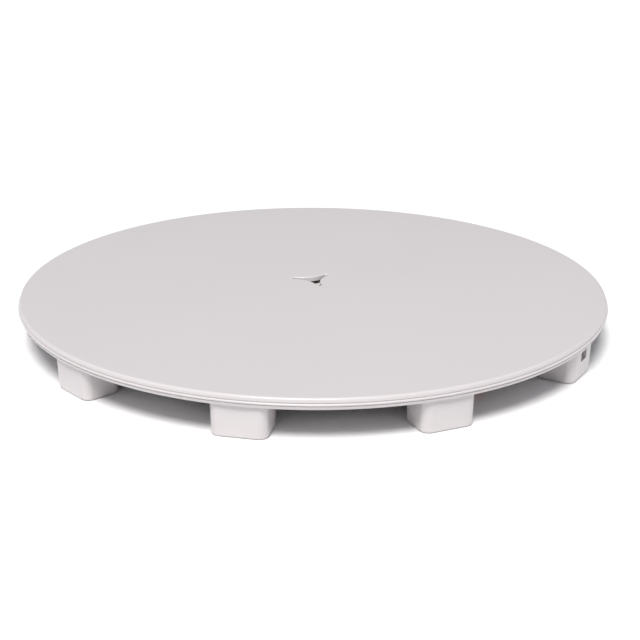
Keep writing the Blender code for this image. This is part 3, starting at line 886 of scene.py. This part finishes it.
@dataclass
class Flag:
    """The cloth with its hem and stitching, and the arm and clips that carry it."""

    job: Job
    ripple: float = 0.16 * MM
    cloth_thick: float = 0.18 * MM
    across: int = 54
    along: int = 66
    hem: float = 3.0 * MM

    def build(self) -> None:
        """Builds the cloth and dresses the arm and clips."""
        self.job.palette.dress(self.job.nodes["flag_arm"], "spring_steel")
        for name in ("flag_clip_1", "flag_clip_2"):
            self.job.palette.dress(self.job.nodes[name], "black_plastic")
        low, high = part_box("flag_cloth")
        cloth = self.cloth(low, high)
        hems = self.hems(low, high)
        self.job.fit(cloth, "flag_cloth", "flag", "flag_cloth")
        for piece in hems:
            self.job.fit(piece, "flag_cloth", "flag")
        stitches = self.stitches(low, high)
        self.job.fit(stitches, "flag_cloth", "flag")

    def level(self, u: float, v: float, middle: float) -> float:
        """The cloth's height at a place across and along it, each from 0 to 1."""
        free = u**1.2
        wave = math.sin(7.0 * v + 2.2 * u) * 0.6 + math.sin(13.0 * v - 4.0 * u + 1.0) * 0.4
        return middle + self.ripple * free * wave

    def cloth(self, low: Vector, high: Vector) -> bpy.types.Object:
        """The sheet, as a thin closed skin with soft ripples towards its free edge."""
        bm = bmesh.new()
        middle = (low.z + high.z) / 2
        grid = []
        for i in range(self.across + 1):
            u = i / self.across
            row = []
            for j in range(self.along + 1):
                v = j / self.along
                x, y = low.x + (high.x - low.x) * u, low.y + (high.y - low.y) * v
                row.append(bm.verts.new((x, y, self.level(u, v, middle))))
            grid.append(row)
        for i in range(self.across):
            for j in range(self.along):
                bm.faces.new((grid[i][j], grid[i + 1][j], grid[i + 1][j + 1], grid[i][j + 1]))
        made = to_object("flag_sheet", bm)
        thick = made.modifiers.new("thickness", "SOLIDIFY")
        thick.thickness, thick.offset = self.cloth_thick, 0.0
        return made

    def hems(self, low: Vector, high: Vector) -> list[bpy.types.Object]:
        """A turned-over strip along each edge of the sheet, on its lower face."""
        middle = (low.z + high.z) / 2
        width, length = high.x - low.x, high.y - low.y
        made = []
        share_x, share_y = self.hem / width, self.hem / length
        strips = {
            "hem_outer": (1 - share_x, 1.0, 0.0, 1.0), "hem_inner": (0.0, share_x, 0.0, 1.0),
            "hem_near": (share_x, 1 - share_x, 0.0, share_y),
            "hem_far": (share_x, 1 - share_x, 1 - share_y, 1.0),
        }
        for name, (u0, u1, v0, v1) in strips.items():
            bm = bmesh.new()
            long_way = (v1 - v0) * length > (u1 - u0) * width
            nu, nv = (3, self.along) if long_way else (self.across, 3)
            grid = []
            for i in range(nu + 1):
                u = u0 + (u1 - u0) * i / nu
                row = []
                for j in range(nv + 1):
                    v = v0 + (v1 - v0) * j / nv
                    z = self.level(u, v, middle) - self.cloth_thick * 0.95
                    row.append(bm.verts.new((low.x + width * u, low.y + length * v, z)))
                grid.append(row)
            for i in range(nu):
                for j in range(nv):
                    bm.faces.new((grid[i][j], grid[i + 1][j], grid[i + 1][j + 1], grid[i][j + 1]))
            strip = to_object("flag_" + name, bm)
            thick = strip.modifiers.new("thickness", "SOLIDIFY")
            thick.thickness, thick.offset = self.cloth_thick * 0.8, 0.0
            made.append(strip)
        return made

    def stitches(self, low: Vector, high: Vector) -> bpy.types.Object:
        """A row of short stitches along each hem, on the lower face, as one mesh."""
        middle = (low.z + high.z) / 2
        width, length = high.x - low.x, high.y - low.y
        inset, pitch, size = self.hem * 0.75, 2.0 * MM, 1.3 * MM
        bm = bmesh.new()

        def stitch(x: float, y: float, along_x: bool) -> None:
            """Adds one stitch."""
            u, v = (x - low.x) / width, (y - low.y) / length
            z = self.level(u, v, middle) - self.cloth_thick * 1.5
            made = bmesh.ops.create_cube(bm, size=1)["verts"]
            scale = (size, 0.22 * MM, 0.14 * MM) if along_x else (0.22 * MM, size, 0.14 * MM)
            bmesh.ops.scale(bm, vec=scale, verts=made)
            bmesh.ops.translate(bm, vec=(x, y, z), verts=made)

        for k in range(1, int((length - 2 * inset) / pitch)):
            for x in (low.x + inset, high.x - inset):
                stitch(x, low.y + inset + k * pitch, False)
        for k in range(1, int((width - 2 * inset) / pitch)):
            for y in (low.y + inset, high.y - inset):
                stitch(low.x + inset + k * pitch, y, True)
        bmesh.ops.bevel(bm, geom=list(bm.edges), offset=0.04 * MM, segments=2, profile=0.5, affect="EDGES")
        return to_object("flag_stitching", bm, 60.0)


# ---------------------------------------------------------------- studio


@dataclass
class Studio:
    """Floor, soft light and the camera."""

    hub: Vector
    azimuth: float = -5.5
    distance: float = 4.494 * 127 * MM
    elevation: float = 18.75
    yaw: float = 0.29
    pitch: float = -1.45
    roll: float = -0.20
    lens: float = 72.9
    aim_height: float = 15.9 * MM
    sun_strength: float = 3.25
    sun_elevation: float = 60.0
    sun_azimuth: float = -16.0
    sun_softness: float = 24.0
    ambient: Colour = (0.27, 0.285, 0.31)

    def build(self) -> None:
        """Builds the whole studio."""
        self.floor()
        self.world()
        self.sun()
        self.camera()
        bpy.context.scene.view_settings.view_transform = "Standard"

    def floor(self) -> None:
        """A wide sheet of pale paper."""
        bm = bmesh.new()
        bridge(bm, [circle(r, -0.05 * MM, self.hub, 96) for r in (0.02, 0.5, 2.0, 40.0)], loop=False)
        inner = [e for e in bm.edges if e.is_boundary and e.verts[0].co.length < 1]
        bmesh.ops.holes_fill(bm, edges=inner, sides=0)
        paper = to_object("studio_floor", bm)
        paper.data.materials.append(Paper("studio_paper", 0.93).build())

    def world(self) -> None:
        """A white surround for the eye, and a dimmer one for the light that it gives."""
        world = bpy.data.worlds.new("studio")
        world.use_nodes = True
        bpy.context.scene.world = world
        graph = Graph(world.node_tree)
        path = graph.value("ShaderNodeLightPath", "Is Camera Ray")
        colour = graph.mix(path, self.ambient, (1.0, 1.0, 1.0))
        back = world.node_tree.nodes["Background"]
        world.node_tree.links.new(colour.socket, back.inputs["Color"])
        back.inputs["Strength"].default_value = 1.0

    def sun(self) -> None:
        """A wide soft key light from the front and above."""
        lamp = bpy.data.lights.new("key", "SUN")
        lamp.energy = self.sun_strength
        lamp.angle = math.radians(self.sun_softness)
        lamp.color = (1.0, 0.985, 0.97)
        key = bpy.data.objects.new("key", lamp)
        e, a = math.radians(self.sun_elevation), math.radians(self.sun_azimuth)
        source = Vector((math.sin(a) * math.cos(e), -math.cos(a) * math.cos(e), math.sin(e)))
        key.rotation_euler = source.to_track_quat("Z", "Y").to_euler()
        bpy.context.scene.collection.objects.link(key)

    def camera(self) -> None:
        """The camera, aimed from its azimuth and elevation and then trimmed by small turns."""
        e, a = math.radians(self.elevation), math.radians(self.azimuth)
        aim = self.hub + Vector((0, 0, self.aim_height))
        back = Vector((math.sin(a) * math.cos(e), -math.cos(a) * math.cos(e), math.sin(e)))
        right = Vector((math.cos(a), math.sin(a), 0))
        rows = Matrix((right, back.cross(right), -back))
        y, p, r = (math.radians(v) for v in (self.yaw, self.pitch, self.roll))
        turn_y = Matrix(((math.cos(y), 0, -math.sin(y)), (0, 1, 0), (math.sin(y), 0, math.cos(y))))
        turn_p = Matrix(((1, 0, 0), (0, math.cos(p), -math.sin(p)), (0, math.sin(p), math.cos(p))))
        turn_r = Matrix(((math.cos(r), -math.sin(r), 0), (math.sin(r), math.cos(r), 0), (0, 0, 1)))
        rows = turn_r @ turn_p @ turn_y @ rows
        axes = Matrix((rows[0], rows[1], -rows[2])).transposed()
        data = bpy.data.cameras.new("camera")
        data.lens, data.sensor_width = self.lens, 36.0
        data.clip_start, data.clip_end = 0.01, 100.0
        eye = bpy.data.objects.new("camera", data)
        eye.matrix_world = Matrix.Translation(aim + back * self.distance) @ axes.to_4x4()
        bpy.context.scene.collection.objects.link(eye)
        bpy.context.scene.camera = eye


def main() -> None:
    """Loads the frame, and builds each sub-assembly and the studio."""
    logging.basicConfig(level=logging.INFO, format="%(message)s")
    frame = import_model()
    low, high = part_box("base_ring")
    hub = Vector(((low.x + high.x) / 2, (low.y + high.y) / 2, 0))
    job = Job(Palette(), hub, frame["nodes"])
    for part in (Lid(job), FootedRing(job), Chassis(job), Screws(job), Reel(job), Flag(job)):
        part.build()
        log.info("%s done", type(part).__name__)
    Studio(hub).build()


if __name__ == "__main__":
    main()
